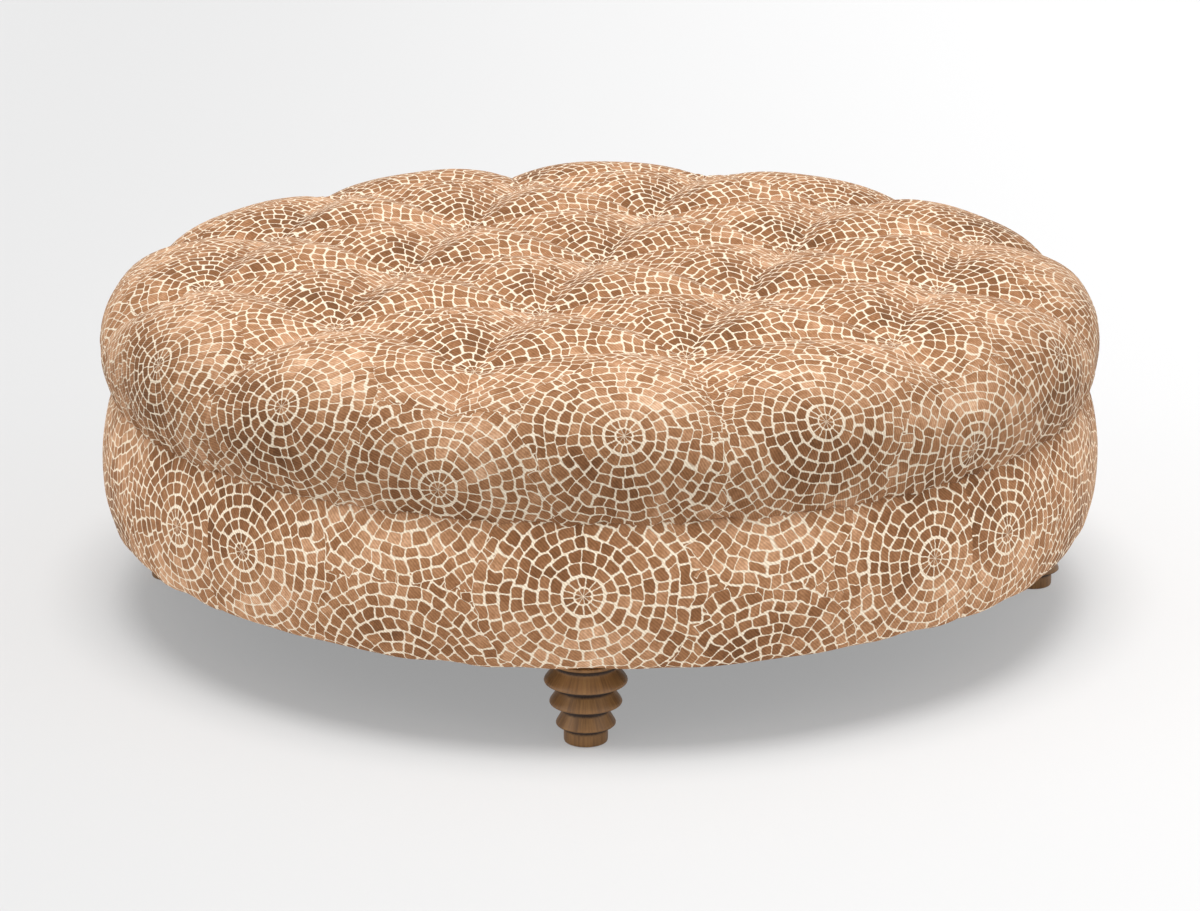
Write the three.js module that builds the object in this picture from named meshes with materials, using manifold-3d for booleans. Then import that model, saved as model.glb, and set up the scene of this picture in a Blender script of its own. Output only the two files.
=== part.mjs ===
import * as THREE from 'three';
import { mergeVertices } from 'three/addons/utils/BufferGeometryUtils.js';
import Module from 'manifold-3d';

// Round tufted tuffet, in millimetres, +Z up, standing on the floor at z = 0.

const wasm = await Module();
wasm.setup();

// Overall sizes
const bodyRadius = 600;
const bandDepth = 33.7;
const fitGap = 0.3;
const softGap = 0.5;
const cutOverrun = 5;

// Legs, glides and their fixings
const legCount = 4;
const firstLegAngle = Math.PI / 4;
const legInset = 32;
const legHeight = 94;
const legFootRadius = 22.9;
const legFootTopRadius = 23.4;
const legRingCount = 3;
const legTopRingRadius = 45.2;
const legRingStep = 6.3;
const legRingPitch = 24.7;
const legTopRingDrop = 21.4;
const legRingOverhang = 11;
const legRingLip = 1.2;
const legRingUndercut = 11;
const legCollarRadius = 38;
const legCollarHeight = 5.2;
const legNeckRadius = 35.8;
const legNeckDepth = 1.1;
const glideRadius = 18;
const glideThickness = 3;
const glideChamfer = 1;
const boltRadius = 4;
const boltLengthInLeg = 33;
const boltPastNut = 2;
const nutBarrelRadius = 5.4;
const nutBarrelLength = 10;
const nutFlangeRadius = 11;
const nutFlangeThickness = 1.6;
const blockLength = 90;
const blockWidth = 60;
const blockHeight = 36;

// Base drum
const dustCoverThickness = 1.5;
const dustCoverInset = 2;
const coverThickness = 2.5;
const hemWidth = 21.3;
const deckThickness = 18;
const postCount = 8;
const postWidth = 40;
const postHeight = 129;
const topRingThickness = 18;
const topRingWasherGap = 14;
const panelCount = 4;
const panelThickness = 4;
const tackThickness = 2;
const tackHeight = 12;

// Seat
const seatOverhang = 24.3;
const foamHeight = 141.6;
const shoulderWidth = 44;
const shoulderEdgeWidth = 10;
const crownPower = 3.1;
const tuftRingCount = 2;
const tuftEdgeInset = 124;
const tuftDepth = 36;
const tuftSpread = 27;
const tuftPitRadius = 18;
const foldDepth = 14;
const foldWidth = 40;
const tieHoleRadius = 5;
const twineRadius = 1.25;
const knotRadius = 3.4;
const knotHeight = 6;
const washerRadius = 10;
const washerThickness = 3;

// Facet counts
const meshSteps = 4;
const edgeRingCount = 2;
const drumSides = 64;
const legSides = 20;
const boltSides = 12;
const tieSides = 6;
const sectors = 6;

// Heights of the stack, from the floor up
const legBottom = glideThickness + fitGap;
const legTop = legBottom + legHeight;
const dustCoverBottom = legTop + fitGap;
const bandBottom = dustCoverBottom + dustCoverThickness + fitGap;
const baseDeckBottom = bandBottom + coverThickness + fitGap;
const baseDeckTop = baseDeckBottom + deckThickness;
const postBottom = baseDeckTop + fitGap;
const topRingBottom = postBottom + postHeight + fitGap;
const seatDeckBottom = topRingBottom + topRingThickness + fitGap;
const seatDeckTop = seatDeckBottom + deckThickness;
const foamBottom = seatDeckTop + fitGap;
const crownTop = foamBottom + foamHeight + softGap + coverThickness;
const bandTop = seatDeckBottom - fitGap;

// Radii that follow from their neighbours
const panelOuterRadius = bodyRadius - bandDepth;
const panelInnerRadius = panelOuterRadius - panelThickness;
const frameRadius = panelInnerRadius - fitGap;
const dustCoverRadius = frameRadius - dustCoverInset;
const hemRadius = panelOuterRadius - hemWidth;
const frameFlatRadius = frameRadius * Math.cos(Math.PI / drumSides);
const legCircleRadius = frameRadius - legInset;
const boltBoreRadius = boltRadius + fitGap;
const nutHoleRadius = nutBarrelRadius + fitGap;
const seatDeckRadius = bodyRadius - seatOverhang;
const seatEdgeRadius = seatDeckRadius + fitGap + coverThickness;

// The outer tufts lie a set distance inside the seat's edge, and the frame's top ring clears them
const tuftReach = bodyRadius - tuftEdgeInset;
const tuftPitch = tuftReach / tuftRingCount;
const topRingInnerRadius = tuftReach + washerRadius + topRingWasherGap;
const tuftMeshRings = tuftRingCount * meshSteps;
const topMeshRings = tuftMeshRings + edgeRingCount;
const seatSides = sectors * topMeshRings;

// Outline of the base band, from its bottom up: [share of its depth, share of its height]
const bandOutlineShares = [
  [0.23, 0], [0.55, 0.03], [0.82, 0.16], [1, 0.38], [1, 0.6], [0.8, 0.84], [0.3, 0.99],
];

// Outline of the seat's side, from its widest line down: [share of its bulge, share of its height]
const seatWidestShare = 0.3778;
const seatSideShares = [[1, seatWidestShare], [0.68, 0.1163], [0, 0]];

const fabric = material(0xc29678, 0.9, 0);
const foam = material(0xe8dcb0, 0.95, 0);
const plywood = material(0xc8a272, 0.75, 0);
const softwood = material(0xd6b483, 0.8, 0);
const hardboard = material(0x8a6642, 0.8, 0);
const legWood = material(0x7d5532, 0.45, 0);
const steel = material(0xa9acaf, 0.35, 0.9);
const nylon = material(0x2c2a28, 0.5, 0);
const cambric = material(0x26262a, 0.95, 0);
const card = material(0x9c9078, 0.9, 0);
const twine = material(0xd9caa3, 0.85, 0);

function material(color, roughness, metalness) {
  return new THREE.MeshStandardMaterial({ color, roughness, metalness });
}

function addPart(group, name, geometry, finish) {
  const mesh = new THREE.Mesh(geometry, finish);
  mesh.name = name;
  group.add(mesh);
  return mesh;
}

// A solid turned about Z from an outline of [radius, height] points
function turned(outline, sides) {
  const points = outline.map(([radius, height]) => new THREE.Vector2(radius, height));
  return new THREE.LatheGeometry(points, sides).rotateX(Math.PI / 2);
}

function disc(radius, bottom, thickness, sides) {
  const top = bottom + thickness;
  return turned([[0, bottom], [radius, bottom], [radius, top], [0, top]], sides);
}

function ring(innerRadius, outerRadius, bottom, thickness, sides) {
  const top = bottom + thickness;
  return turned([
    [innerRadius, bottom], [outerRadius, bottom], [outerRadius, top], [innerRadius, top],
    [innerRadius, bottom],
  ], sides);
}

// Boolean cuts
function solidOf(geometry) {
  const bare = geometry.clone();
  bare.deleteAttribute('normal');
  bare.deleteAttribute('uv');
  const merged = mergeVertices(bare);
  return new wasm.Manifold(new wasm.Mesh({
    numProp: 3,
    vertProperties: new Float32Array(merged.attributes.position.array),
    triVerts: new Uint32Array(merged.index.array),
  }));
}

function geometryOf(solid) {
  const mesh = solid.getMesh();
  const geometry = new THREE.BufferGeometry();
  geometry.setAttribute('position', new THREE.BufferAttribute(mesh.vertProperties, 3));
  geometry.setIndex(new THREE.BufferAttribute(mesh.triVerts, 1));
  geometry.computeVertexNormals();
  return geometry;
}

// Upright holes of one radius through a solid that lies between two heights
function drilled(geometry, places, radius, bottom, top, sides) {
  let solid = solidOf(geometry);
  for (const [x, y] of places) {
    const drill = disc(radius, bottom - cutOverrun, top - bottom + 2 * cutOverrun, sides);
    solid = solid.subtract(solidOf(drill.translate(x, y, 0)));
  }
  return geometryOf(solid);
}

// Moves each point of an outline by a distance to the left of its direction of travel
function offsetOutline(outline, distance) {
  return outline.map(([radius, height], index) => {
    const before = outline[Math.max(index - 1, 0)];
    const after = outline[Math.min(index + 1, outline.length - 1)];
    const run = Math.hypot(after[0] - before[0], after[1] - before[1]);
    return [
      radius - distance * (after[1] - before[1]) / run,
      height + distance * (after[0] - before[0]) / run,
    ];
  });
}

function legAngles() {
  return Array.from({ length: legCount }, (_, k) => firstLegAngle + 2 * Math.PI * k / legCount);
}

function legPlaces() {
  return legAngles().map((angle) => [
    legCircleRadius * Math.cos(angle), legCircleRadius * Math.sin(angle),
  ]);
}

// Legs
function legOutline() {
  const outline = [[0, 0], [legFootRadius, 0]];
  for (let k = 0; k < legRingCount; k += 1) {
    const below = legRingCount - 1 - k;
    const rimRadius = legTopRingRadius - below * legRingStep;
    const rimHeight = legHeight - legTopRingDrop - below * legRingPitch;
    const grooveRadius = k === 0 ? legFootTopRadius : rimRadius - legRingOverhang;
    outline.push([grooveRadius, rimHeight - legRingUndercut - legRingLip]);
    outline.push([rimRadius, rimHeight - legRingLip]);
    outline.push([rimRadius, rimHeight + legRingLip]);
  }
  const collarBottom = legHeight - legCollarHeight;
  outline.push([legNeckRadius, collarBottom - legNeckDepth], [legCollarRadius, collarBottom]);
  outline.push([legCollarRadius, legHeight], [boltBoreRadius, legHeight]);
  const boreBottom = legHeight - boltLengthInLeg - fitGap;
  outline.push([boltBoreRadius, boreBottom], [0, boreBottom]);
  return outline;
}

function glideOutline() {
  return [
    [0, 0], [glideRadius - glideChamfer, 0], [glideRadius, glideChamfer],
    [glideRadius, glideThickness], [0, glideThickness],
  ];
}

function nutOutline() {
  return [
    [boltBoreRadius, -nutBarrelLength], [nutBarrelRadius, -nutBarrelLength],
    [nutBarrelRadius, 0], [nutFlangeRadius, 0], [nutFlangeRadius, nutFlangeThickness],
    [boltBoreRadius, nutFlangeThickness], [boltBoreRadius, -nutBarrelLength],
  ];
}

function legBlock() {
  const bottom = baseDeckTop + fitGap;
  const outerEdge = Math.sqrt(frameFlatRadius ** 2 - (blockLength / 2) ** 2);
  const block = new THREE.BoxGeometry(blockWidth, blockLength, blockHeight);
  block.translate(outerEdge - blockWidth / 2, 0, bottom + blockHeight / 2);
  const holes = [[legCircleRadius, 0]];
  return drilled(block, holes, nutHoleRadius, bottom, bottom + blockHeight, boltSides);
}

function addLegs(group) {
  const nutSeat = baseDeckTop + fitGap + blockHeight + fitGap;
  const boltBottom = legTop - boltLengthInLeg;
  const boltTop = nutSeat + nutFlangeThickness + boltPastNut;
  legAngles().forEach((angle, k) => {
    const corner = new THREE.Group();
    corner.rotation.z = angle;
    group.add(corner);
    const stand = new THREE.Group();
    stand.position.x = legCircleRadius;
    corner.add(stand);
    const number = k + 1;
    addPart(stand, `glide_${number}`, turned(glideOutline(), legSides), nylon);
    const leg = addPart(stand, `leg_${number}`, turned(legOutline(), legSides), legWood);
    leg.position.z = legBottom;
    const nut = addPart(stand, `t_nut_${number}`, turned(nutOutline(), boltSides), steel);
    nut.position.z = nutSeat;
    const bolt = disc(boltRadius, boltBottom, boltTop - boltBottom, boltSides);
    addPart(stand, `hanger_bolt_${number}`, bolt, steel);
    addPart(corner, `leg_block_${number}`, legBlock(), softwood);
  });
}

// Base drum
function bandOutline() {
  const side = bandOutlineShares.map(([out, up]) => [
    panelOuterRadius + out * bandDepth, bandBottom + up * (bandTop - bandBottom),
  ]);
  return [[hemRadius, bandBottom], ...side, [panelOuterRadius + fitGap, bandTop]];
}

function baseCover() {
  const outer = bandOutline();
  const inner = offsetOutline(outer, coverThickness);
  return turned([...outer, ...inner.reverse(), outer[0]], drumSides);
}

function tackBottom() {
  return bandTop - coverThickness - softGap - tackHeight;
}

function basePadding() {
  const innerRadius = panelOuterRadius + fitGap;
  const stepRadius = innerRadius + tackThickness + fitGap;
  const outer = offsetOutline(bandOutline(), coverThickness + softGap)
    .filter(([radius]) => radius > stepRadius);
  const top = outer[outer.length - 1][1];
  const stepHeight = tackBottom() - fitGap;
  return turned([
    [innerRadius, outer[0][1]], ...outer, [stepRadius, top], [stepRadius, stepHeight],
    [innerRadius, stepHeight], [innerRadius, outer[0][1]],
  ], drumSides);
}

// One curved panel, from the edge of the base deck to just under the seat deck.
// An arc in a shape gets twice curveSegments steps, so the panel's facets match the rings'.
function sidePanel(startAngle) {
  const endGapAngle = fitGap / panelInnerRadius;
  const from = startAngle + endGapAngle;
  const to = startAngle + 2 * Math.PI / panelCount - endGapAngle;
  const shape = new THREE.Shape();
  shape.absarc(0, 0, panelOuterRadius, from, to, false);
  shape.absarc(0, 0, panelInnerRadius, to, from, true);
  shape.closePath();
  const panelTop = bandTop - coverThickness - softGap;
  const options = {
    depth: panelTop - baseDeckBottom,
    bevelEnabled: false,
    curveSegments: drumSides / panelCount / 2,
  };
  return new THREE.ExtrudeGeometry(shape, options).translate(0, 0, baseDeckBottom);
}

function addPosts(group) {
  const outerEdge = Math.sqrt(frameFlatRadius ** 2 - (postWidth / 2) ** 2);
  for (let k = 0; k < postCount; k += 1) {
    const stand = new THREE.Group();
    stand.rotation.z = firstLegAngle + 2 * Math.PI * (k + 0.5) / postCount;
    group.add(stand);
    const box = new THREE.BoxGeometry(postWidth, postWidth, postHeight);
    const post = addPart(stand, `frame_post_${k + 1}`, box, softwood);
    post.position.set(outerEdge - postWidth / 2, 0, postBottom + postHeight / 2);
  }
}

function addPanels(group) {
  const firstJoint = firstLegAngle + Math.PI / postCount;
  for (let k = 0; k < panelCount; k += 1) {
    const start = firstJoint + 2 * Math.PI * k / panelCount;
    addPart(group, `side_panel_${k + 1}`, sidePanel(start), hardboard);
  }
}

function addBase(group) {
  const dustSheet = disc(dustCoverRadius, dustCoverBottom, dustCoverThickness, drumSides);
  const dustTop = dustCoverBottom + dustCoverThickness;
  addPart(group, 'dust_cover',
    drilled(dustSheet, legPlaces(), boltBoreRadius, dustCoverBottom, dustTop, boltSides), cambric);
  const deck = disc(frameRadius, baseDeckBottom, deckThickness, drumSides);
  addPart(group, 'base_deck',
    drilled(deck, legPlaces(), boltBoreRadius, baseDeckBottom, baseDeckTop, boltSides), plywood);
  addPosts(group);
  addPanels(group);
  addPart(group, 'frame_top_ring',
    ring(topRingInnerRadius, frameRadius, topRingBottom, topRingThickness, drumSides), plywood);
  const tackInner = panelOuterRadius + fitGap;
  addPart(group, 'tack_strip',
    ring(tackInner, tackInner + tackThickness, tackBottom(), tackHeight, drumSides), card);
  addPart(group, 'base_padding', basePadding(), foam);
  addPart(group, 'base_cover', baseCover(), fabric);
}

// Seat surface
function direction(angle) {
  return [Math.cos(angle), Math.sin(angle)];
}

// Place of one node of the triangular tuft lattice, in steps: ring, side of the hexagon, step along it
function latticePlace(ringIndex, side, step) {
  const from = direction(2 * Math.PI * side / sectors);
  const to = direction(2 * Math.PI * (side + 1) / sectors);
  const back = ringIndex - step;
  return [from[0] * back + to[0] * step, from[1] * back + to[1] * step];
}

// Tufts lie on a triangular lattice, in hexagonal rings round the middle one
function tuftPlaces() {
  const places = [[0, 0]];
  for (let k = 1; k <= tuftRingCount; k += 1) {
    for (let side = 0; side < sectors; side += 1) {
      for (let step = 0; step < k; step += 1) {
        places.push(latticePlace(k, side, step).map((value) => value * tuftPitch));
      }
    }
  }
  return places;
}

// Height of the untufted crown at a radius
function crownHeight(radius) {
  const widest = seatDeckBottom + seatWidestShare * (crownTop - seatDeckBottom);
  const inside = 1 - Math.min(radius / bodyRadius, 1) ** crownPower;
  return widest + (crownTop - widest) * inside ** (1 / crownPower);
}

// How far the tufts pull the surface down at a place
function tuftDrop(x, y) {
  let drop = 0;
  for (const [tuftX, tuftY] of tuftPlaces()) {
    drop = Math.max(drop, tuftDepth * Math.exp(-Math.hypot(x - tuftX, y - tuftY) / tuftSpread));
  }
  return drop;
}

// The fold that runs outwards from each outer tuft and fades over the shoulder
function foldDrop(x, y) {
  let drop = 0;
  for (const [tuftX, tuftY] of tuftPlaces().slice(-sectors * tuftRingCount)) {
    const reach = Math.hypot(tuftX, tuftY);
    const along = (x * tuftX + y * tuftY) / reach - reach;
    const across = (x * tuftY - y * tuftX) / reach;
    const left = Math.max(bodyRadius - Math.hypot(x, y), 0) / (bodyRadius - reach);
    const fade = Math.min(left, 1) * Math.exp(-((across / foldWidth) ** 2));
    drop = Math.max(drop, along > 0 ? foldDepth * fade : 0);
  }
  return drop;
}

function topPoint(x, y) {
  const drop = Math.max(tuftDrop(x, y), foldDrop(x, y));
  return [x, y, crownHeight(Math.hypot(x, y)) - drop];
}

// Rows of points of the seat's top: lattice hexagons over the tufts, easing into circles at the edge
function topRows() {
  const spacing = tuftPitch / meshSteps;
  const edgeRadius = bodyRadius - shoulderWidth;
  const rows = [[topPoint(0, 0)]];
  for (let k = 1; k <= topMeshRings; k += 1) {
    const ease = Math.max(k - tuftMeshRings, 0) / edgeRingCount;
    const row = [];
    for (let side = 0; side < sectors; side += 1) {
      for (let step = 0; step < k; step += 1) {
        const hexScale = spacing * Math.min(tuftMeshRings / k, 1);
        const [hexX, hexY] = latticePlace(k, side, step).map((value) => value * hexScale);
        const [outX, outY] = direction(2 * Math.PI * (side + step / k) / sectors);
        const x = hexX * (1 - ease) + outX * edgeRadius * ease;
        const y = hexY * (1 - ease) + outY * edgeRadius * ease;
        row.push(topPoint(x, y));
      }
    }
    rows.push(row);
  }
  return rows;
}

// The side of the seat as [radius, height], from the shoulder down to the lower edge
function sideOutline() {
  const shoulderRadius = bodyRadius - shoulderEdgeWidth;
  const bulge = bodyRadius - seatEdgeRadius;
  return [
    [bodyRadius - shoulderWidth, crownHeight(bodyRadius - shoulderWidth)],
    [shoulderRadius, crownHeight(shoulderRadius)],
    ...seatSideShares.map(([out, up]) => [
      seatEdgeRadius + out * bulge, seatDeckBottom + up * (crownTop - seatDeckBottom),
    ]),
  ];
}

function circleRow(radius, height) {
  return Array.from({ length: seatSides }, (_, i) => {
    const [x, y] = direction(2 * Math.PI * i / seatSides);
    return [x * radius, y * radius, height];
  });
}

function sunkRows(depth) {
  return topRows().map((row) => row.map(([x, y, z]) => [x, y, z - depth]));
}

// A side outline moved inwards; its last point stays level with the lower edge
function sideInside(depth) {
  const moved = offsetOutline(sideOutline(), -depth);
  moved[moved.length - 1] = [seatEdgeRadius - depth, seatDeckBottom];
  return moved;
}

// Collects rows of points and the triangles between them
class Surface {
  constructor() {
    this.positions = [];
    this.indices = [];
  }

  addRow(row) {
    const first = this.positions.length / 3;
    row.forEach((point) => this.positions.push(...point));
    return Array.from({ length: row.length }, (_, i) => first + i);
  }

  addTriangle(a, b, c, flipped) {
    this.indices.push(a, flipped ? c : b, flipped ? b : c);
  }

  point(index) {
    return this.positions.slice(3 * index, 3 * index + 3);
  }

  // Two rows of as many points, the second one further down or out
  joinRows(upper, lower, flipped) {
    const count = upper.length;
    for (let i = 0; i < count; i += 1) {
      const next = (i + 1) % count;
      this.addTriangle(upper[i], lower[i], lower[next], flipped);
      this.addTriangle(upper[i], lower[next], upper[next], flipped);
    }
  }

  geometry() {
    const geometry = new THREE.BufferGeometry();
    geometry.setAttribute('position', new THREE.Float32BufferAttribute(this.positions, 3));
    geometry.setIndex(this.indices);
    geometry.computeVertexNormals();
    return geometry;
  }
}

// The triangles of the hexagonal rows, as triples of indices
function hexTriangles(rows) {
  const triangles = [];
  for (let k = 0; k < rows.length - 1; k += 1) {
    const inner = rows[k];
    const outer = rows[k + 1];
    for (let side = 0; side < sectors; side += 1) {
      for (let step = 0; step <= k; step += 1) {
        const near = inner[(side * k + step) % inner.length];
        const out = outer[side * (k + 1) + step];
        const outNext = outer[(side * (k + 1) + step + 1) % outer.length];
        triangles.push([near, out, outNext]);
        if (step < k) {
          triangles.push([near, outNext, inner[(side * k + step + 1) % inner.length]]);
        }
      }
    }
  }
  return triangles;
}

function tuftNodes(rows) {
  const nodes = new Set();
  for (let k = 0; k <= tuftMeshRings; k += meshSteps) {
    rows[k].forEach((node, i) => {
      if (i % meshSteps === 0) nodes.add(node);
    });
  }
  return nodes;
}

// Adds the top with a ring of points close round each tuft, so that the pit shows
function addTuftedTop(surface, rows) {
  const tufts = tuftNodes(rows);
  const pitPoints = new Map();
  const pitPoint = (tuft, node) => {
    const key = `${tuft} ${node}`;
    if (!pitPoints.has(key)) {
      const [tuftX, tuftY] = surface.point(tuft);
      const [nodeX, nodeY] = surface.point(node);
      const share = tuftPitRadius / Math.hypot(nodeX - tuftX, nodeY - tuftY);
      const x = tuftX + (nodeX - tuftX) * share;
      const y = tuftY + (nodeY - tuftY) * share;
      pitPoints.set(key, surface.addRow([topPoint(x, y)])[0]);
    }
    return pitPoints.get(key);
  };
  for (const triangle of hexTriangles(rows)) {
    const at = triangle.findIndex((node) => tufts.has(node));
    if (at < 0) {
      surface.addTriangle(...triangle, false);
      continue;
    }
    const [tuft, second, third] = [0, 1, 2].map((turn) => triangle[(at + turn) % 3]);
    const a = pitPoint(tuft, second);
    const b = pitPoint(tuft, third);
    surface.addTriangle(tuft, a, b, false);
    surface.addTriangle(a, second, third, false);
    surface.addTriangle(a, third, b, false);
  }
}

function seatCover() {
  const surface = new Surface();
  const outerTop = topRows().map((row) => surface.addRow(row));
  addTuftedTop(surface, outerTop);
  let above = outerTop[outerTop.length - 1];
  for (const [radius, height] of sideOutline().slice(1)) {
    const row = surface.addRow(circleRow(radius, height));
    surface.joinRows(above, row, false);
    above = row;
  }
  const innerTop = sunkRows(coverThickness).map((row) => surface.addRow(row));
  hexTriangles(innerTop).forEach((triangle) => surface.addTriangle(...triangle, true));
  let aboveInner = innerTop[innerTop.length - 1];
  const [, shoulder, widest, , edge] = sideInside(coverThickness);
  for (const [radius, height] of [shoulder, widest, edge]) {
    const row = surface.addRow(circleRow(radius, height));
    surface.joinRows(aboveInner, row, true);
    aboveInner = row;
  }
  surface.joinRows(above, aboveInner, false);
  return surface.geometry();
}

function seatFoam() {
  const depth = coverThickness + softGap;
  const surface = new Surface();
  const top = sunkRows(depth).map((row) => surface.addRow(row));
  hexTriangles(top).forEach((triangle) => surface.addTriangle(...triangle, false));
  const [, shoulder, widest, , edge] = sideInside(depth);
  const share = (foamBottom - edge[1]) / (widest[1] - edge[1]);
  const base = [edge[0] + (widest[0] - edge[0]) * share, foamBottom];
  let above = top[top.length - 1];
  for (const [radius, height] of [shoulder, widest, base]) {
    const row = surface.addRow(circleRow(radius, height));
    surface.joinRows(above, row, false);
    above = row;
  }
  const middle = surface.addRow([[0, 0, foamBottom]])[0];
  above.forEach((node, i) => {
    surface.addTriangle(node, middle, above[(i + 1) % above.length], false);
  });
  return drilled(
    surface.geometry(), tuftPlaces(), tieHoleRadius, foamBottom, crownTop, tieSides,
  );
}

// Twine with a knot behind the tuft and a washer under the seat deck
function tuftTie(top) {
  const washerTop = seatDeckBottom - fitGap;
  return turned([
    [0, washerTop - washerThickness], [washerRadius, washerTop - washerThickness],
    [washerRadius, washerTop], [twineRadius, washerTop], [twineRadius, top - knotHeight],
    [knotRadius, top - knotHeight / 2], [0, top],
  ], tieSides);
}

function addSeat(group) {
  const deck = disc(seatDeckRadius, seatDeckBottom, deckThickness, seatSides);
  addPart(group, 'seat_deck',
    drilled(deck, tuftPlaces(), tieHoleRadius, seatDeckBottom, seatDeckTop, tieSides), plywood);
  addPart(group, 'seat_foam', seatFoam(), foam);
  addPart(group, 'seat_cover', seatCover(), fabric);
  tuftPlaces().forEach(([x, y], k) => {
    const top = topPoint(x, y)[2] - coverThickness - fitGap;
    const tie = addPart(group, `tuft_tie_${k + 1}`, tuftTie(top), twine);
    tie.position.set(x, y, 0);
  });
}

const tuffet = new THREE.Group();
addLegs(tuffet);
addBase(tuffet);
addSeat(tuffet);

export default tuffet;
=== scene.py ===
"""Looks of a round tufted tuffet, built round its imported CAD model. Lengths are in metres."""
import math

import bpy
import numpy as np
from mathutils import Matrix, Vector


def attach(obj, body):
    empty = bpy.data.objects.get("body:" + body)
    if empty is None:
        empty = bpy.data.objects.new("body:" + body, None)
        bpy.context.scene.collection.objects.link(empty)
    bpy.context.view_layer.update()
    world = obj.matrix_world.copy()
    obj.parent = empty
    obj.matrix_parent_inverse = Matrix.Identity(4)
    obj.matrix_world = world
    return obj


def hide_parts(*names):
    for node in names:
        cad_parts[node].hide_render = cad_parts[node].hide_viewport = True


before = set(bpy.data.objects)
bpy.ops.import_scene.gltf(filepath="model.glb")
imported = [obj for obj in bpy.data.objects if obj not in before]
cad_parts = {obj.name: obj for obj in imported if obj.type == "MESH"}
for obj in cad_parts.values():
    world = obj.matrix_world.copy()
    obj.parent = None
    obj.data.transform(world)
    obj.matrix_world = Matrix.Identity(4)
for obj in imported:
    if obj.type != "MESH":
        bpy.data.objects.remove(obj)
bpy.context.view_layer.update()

# Sizes that follow the CAD model
BODY_RADIUS = 0.600
TUFT_REACH = 0.476
TUFT_PITCH = 0.238
LEG_CIRCLE, LEG_BOTTOM, LEG_HEIGHT = 0.530, 0.0033, 0.094
FOAM_BOTTOM = 0.2866
PANEL_RADIUS, PANEL_BOTTOM, PANEL_TOP = 0.5668, 0.1028, 0.2300
CLOTH = 0.0025

# The seat's relief. A pair is for the outer ring of tufts and for the inner ones.
TUFT_DEPTH, TUFT_SPREAD = 0.0055, 0.0140
TUFT_BASIN, BASIN_SPREAD = (0.0073, 0.0110), (0.052, 0.072)
PILLOW_DEPTH, PILLOW_POWER = 0.0175, 1.9
FOLD_DEPTH, FOLD_POWER, FOLD_REACH = 0.0195, 2.2, 0.105
FOAM_GAP = 0.0040

# The waist, where seat and base meet
WAIST_WAVE, WAIST_REACH = 0.0010, 0.015
GATHER_DEPTH, GATHER_REACH = 0.0014, 0.018
SLACK_DEPTH, SEAT_SLACK_REACH, BAND_SLACK_REACH = 0.0011, 0.055, 0.060
SEAM_DEPTH, SEAM_REACH = 0.0014, 0.006


# Profiles

def curve_through(points, count):
    """A smooth open curve through the points (centripetal Catmull-Rom), as count even points."""
    p = np.array(points, float)
    p = np.vstack([2 * p[0] - p[1], p, 2 * p[-1] - p[-2]])
    out = []
    for a, b, c, d in zip(p, p[1:], p[2:], p[3:]):
        t0 = 0.0
        t1 = t0 + np.linalg.norm(b - a) ** 0.5
        t2 = t1 + np.linalg.norm(c - b) ** 0.5
        t3 = t2 + np.linalg.norm(d - c) ** 0.5
        t = np.linspace(t1, t2, 40, endpoint=False)[:, None]
        ab = (t1 - t) / (t1 - t0) * a + (t - t0) / (t1 - t0) * b
        bc = (t2 - t) / (t2 - t1) * b + (t - t1) / (t2 - t1) * c
        cd = (t3 - t) / (t3 - t2) * c + (t - t2) / (t3 - t2) * d
        abc = (t2 - t) / (t2 - t0) * ab + (t - t0) / (t2 - t0) * bc
        bcd = (t3 - t) / (t3 - t1) * bc + (t - t1) / (t3 - t1) * cd
        out.append((t2 - t) / (t2 - t1) * abc + (t - t1) / (t2 - t1) * bcd)
    out = np.vstack(out + [p[-2:-1]])
    return resampled(out, count)


def resampled(line, count):
    along = arc_of(line)
    wanted = np.linspace(0, along[-1], count)
    return np.stack([np.interp(wanted, along, line[:, i]) for i in range(line.shape[1])], 1)


def arc_of(line):
    return np.concatenate([[0], np.cumsum(np.linalg.norm(np.diff(line, axis=0), axis=1))])


class Profile:
    """A line of [radius, height] turned about Z, read by the length along it."""

    def __init__(self, line):
        self.line = resampled(line, 4000)
        self.along = arc_of(self.line)
        self.length = self.along[-1]
        step = np.gradient(self.line, axis=0)
        step /= np.linalg.norm(step, axis=1)[:, None]
        self.out = np.stack([-step[:, 1], step[:, 0]], 1)

    def at(self, s):
        return tuple(np.interp(s, self.along, self.line[:, i]) for i in (0, 1))

    def outward(self, s):
        return tuple(np.interp(s, self.along, self.out[:, i]) for i in (0, 1))

    def length_at_radius(self, r):
        widest = int(np.argmax(self.line[:, 0]))
        return float(np.interp(r, self.line[:widest, 0], self.along[:widest]))

    def length_at_height(self, z):
        return float(np.interp(-z, -self.line[:, 1], self.along))


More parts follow.
